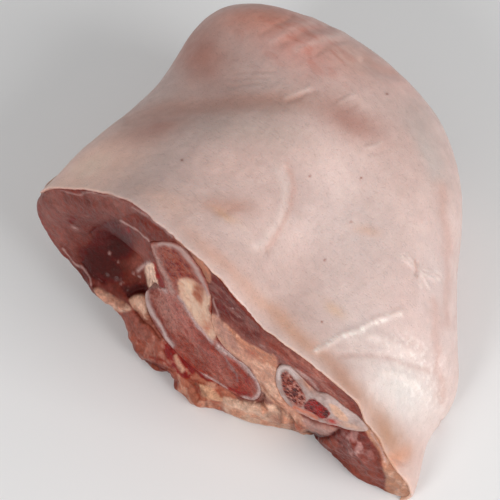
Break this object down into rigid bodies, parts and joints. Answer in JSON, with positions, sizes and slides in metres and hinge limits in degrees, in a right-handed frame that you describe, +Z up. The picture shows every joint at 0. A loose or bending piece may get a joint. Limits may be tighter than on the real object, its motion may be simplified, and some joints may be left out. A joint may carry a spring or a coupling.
{
  "type": "pork hock",
  "caption": "Raw pork hock, knee end: rind-covered leg piece with a broad cut face showing muscle, fat and sawn bone, lying on its flesh side.",
  "frame": {"origin": "centre of the footprint on the surface that the hock lies on", "axes": "+Z up, -Y out of the broad knee cut, +Y towards the smaller ankle cut along the leg, +X towards the pointed toe of rind"},
  "size_m": [0.1722, 0.1296, 0.09],
  "materials": {
    "meat": "moist raw pork: rind, fat and muscle in one piece",
    "rind": "scalded pale pink rind with fine wrinkles and pores",
    "muscle": "moist raw muscle with fat and pale seams",
    "sawn_bone": "moist sawn spongy bone",
    "small_bone": "moist sawn spongy bone with a pale rim"
  },
  "bodies": {
    "root": {"hock_meat": "meat", "shin_bone": "sawn_bone", "calf_bone": "small_bone"}
  },
  "joints": []
}
